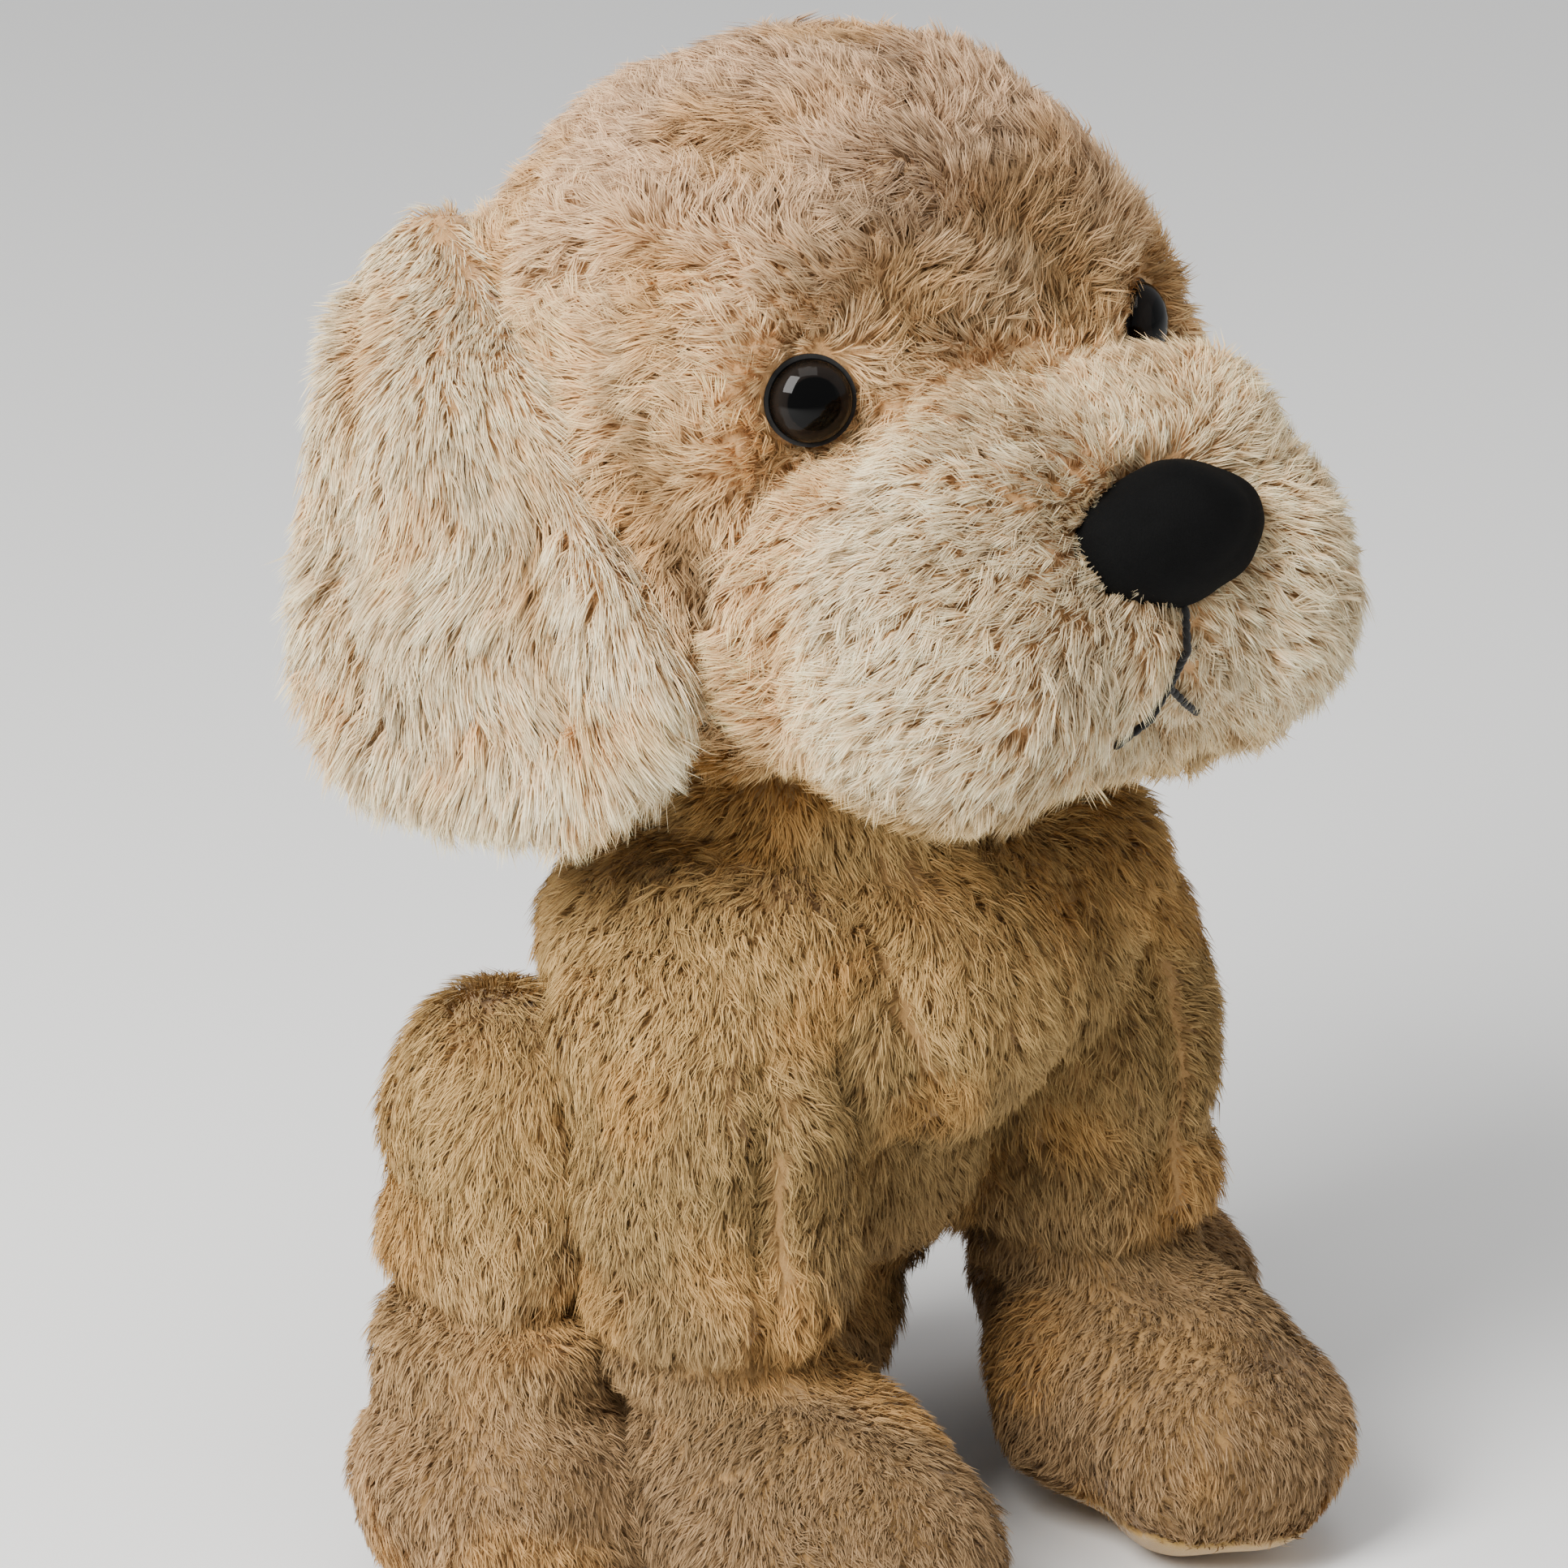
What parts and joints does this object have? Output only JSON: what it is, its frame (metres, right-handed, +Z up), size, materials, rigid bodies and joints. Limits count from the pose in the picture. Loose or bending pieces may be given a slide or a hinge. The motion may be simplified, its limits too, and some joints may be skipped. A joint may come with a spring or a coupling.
{
  "type": "plush dog",
  "caption": "Sitting plush dog with long pale fur, hanging ears, a wide muzzle, a velour nose, plastic eyes and soft stuffed legs.",
  "frame": {"origin": "on the surface that the dog sits on, below the middle of its bounding box", "axes": "+Z up, -Y the way the dog faces, +X its left side"},
  "size_m": [0.274, 0.257, 0.366],
  "materials": {
    "fur_body": "matte",
    "fur_head": "matte",
    "fur_muzzle": "matte",
    "fur_ear": "matte",
    "fur_feet": "matte",
    "ear_lining": "matte",
    "wadding": "matte",
    "stuffing": "matte",
    "sole_velour": "matte",
    "nose_velour": "matte",
    "thread": "matte",
    "bag_cloth": "matte",
    "pellets": "matte",
    "eye_clear": "gloss",
    "eye_iris": "gloss",
    "eye_post": "matte",
    "eye_washer": "matte"
  },
  "bodies": {
    "torso": {"seat_panel": "fur_body", "chest_panel": "fur_body", "body_panel_left": "fur_body", "body_panel_right": "fur_body", "body_stuffing": "stuffing", "pellet_bag": "bag_cloth", "pellets": "pellets"},
    "neck": {"neck_cover": "fur_body", "neck_stuffing": "stuffing"},
    "head": {"head_panel_left": "fur_head", "head_panel_right": "fur_head", "head_gusset": "fur_head", "muzzle_panel_left": "fur_muzzle", "muzzle_panel_right": "fur_muzzle", "chin_panel": "fur_muzzle", "head_stuffing": "stuffing", "nose_cover": "nose_velour", "nose_stuffing": "stuffing", "mouth_stitch": "thread", "eye_left_dome": "eye_clear", "eye_left_iris": "eye_iris", "eye_left_shank": "eye_post", "eye_left_washer": "eye_washer", "eye_right_dome": "eye_clear", "eye_right_iris": "eye_iris", "eye_right_shank": "eye_post", "eye_right_washer": "eye_washer"},
    "ear_left": {"ear_left_outer_panel": "fur_ear", "ear_left_lining": "ear_lining", "ear_left_wadding": "wadding"},
    "ear_right": {"ear_right_outer_panel": "fur_ear", "ear_right_lining": "ear_lining", "ear_right_wadding": "wadding"},
    "foreleg_left": {"foreleg_left_outer_panel": "fur_body", "foreleg_left_inner_panel": "fur_body", "foreleg_left_foot_panel": "fur_feet", "foreleg_left_sole": "sole_velour", "foreleg_left_stuffing": "stuffing"},
    "foreleg_right": {"foreleg_right_outer_panel": "fur_body", "foreleg_right_inner_panel": "fur_body", "foreleg_right_foot_panel": "fur_feet", "foreleg_right_sole": "sole_velour", "foreleg_right_stuffing": "stuffing"},
    "hindleg_left": {"hindleg_left_outer_panel": "fur_body", "hindleg_left_inner_panel": "fur_body", "hindleg_left_foot_panel": "fur_feet", "hindleg_left_sole": "sole_velour", "hindleg_left_stuffing": "stuffing"},
    "hindleg_right": {"hindleg_right_outer_panel": "fur_body", "hindleg_right_inner_panel": "fur_body", "hindleg_right_foot_panel": "fur_feet", "hindleg_right_sole": "sole_velour", "hindleg_right_stuffing": "stuffing"},
    "tail": {"tail_cover": "fur_body", "tail_stuffing": "stuffing"}
  },
  "joints": [
    {"name": "head_turn", "type": "hinge", "parent": "torso", "child": "neck", "pos_m": [0, 0.005, 0.2], "axis": [0, 0, 1], "range_deg": [-30, 30]},
    {"name": "head_nod", "type": "hinge", "parent": "neck", "child": "head", "pos_m": [0, 0.005, 0.2], "axis": [1, 0, 0], "range_deg": [-12, 12]},
    {"name": "ear_left_lift", "type": "hinge", "parent": "head", "child": "ear_left", "pos_m": [0.0772, 0.03, 0.329], "axis": [-0.2079, -0.9781, 0], "range_deg": [0, 95]},
    {"name": "ear_right_lift", "type": "hinge", "parent": "head", "child": "ear_right", "pos_m": [-0.0772, 0.03, 0.329], "axis": [-0.2079, 0.9781, 0], "range_deg": [0, 95]},
    {"name": "foreleg_left_lift", "type": "hinge", "parent": "torso", "child": "foreleg_left", "pos_m": [0.056, -0.018, 0.138], "axis": [-1, 0, 0], "range_deg": [0, 60]},
    {"name": "foreleg_right_lift", "type": "hinge", "parent": "torso", "child": "foreleg_right", "pos_m": [-0.056, -0.018, 0.138], "axis": [-1, 0, 0], "range_deg": [0, 60]},
    {"name": "hindleg_left_splay", "type": "hinge", "parent": "torso", "child": "hindleg_left", "pos_m": [0.066, 0.058, 0.06], "axis": [0, 0, 1], "range_deg": [0, 30]},
    {"name": "hindleg_right_splay", "type": "hinge", "parent": "torso", "child": "hindleg_right", "pos_m": [-0.066, 0.058, 0.06], "axis": [0, 0, -1], "range_deg": [0, 30]},
    {"name": "tail_wag", "type": "hinge", "parent": "torso", "child": "tail", "pos_m": [0, 0.088, 0.04], "axis": [0, 0, 1], "range_deg": [-25, 25]}
  ]
}
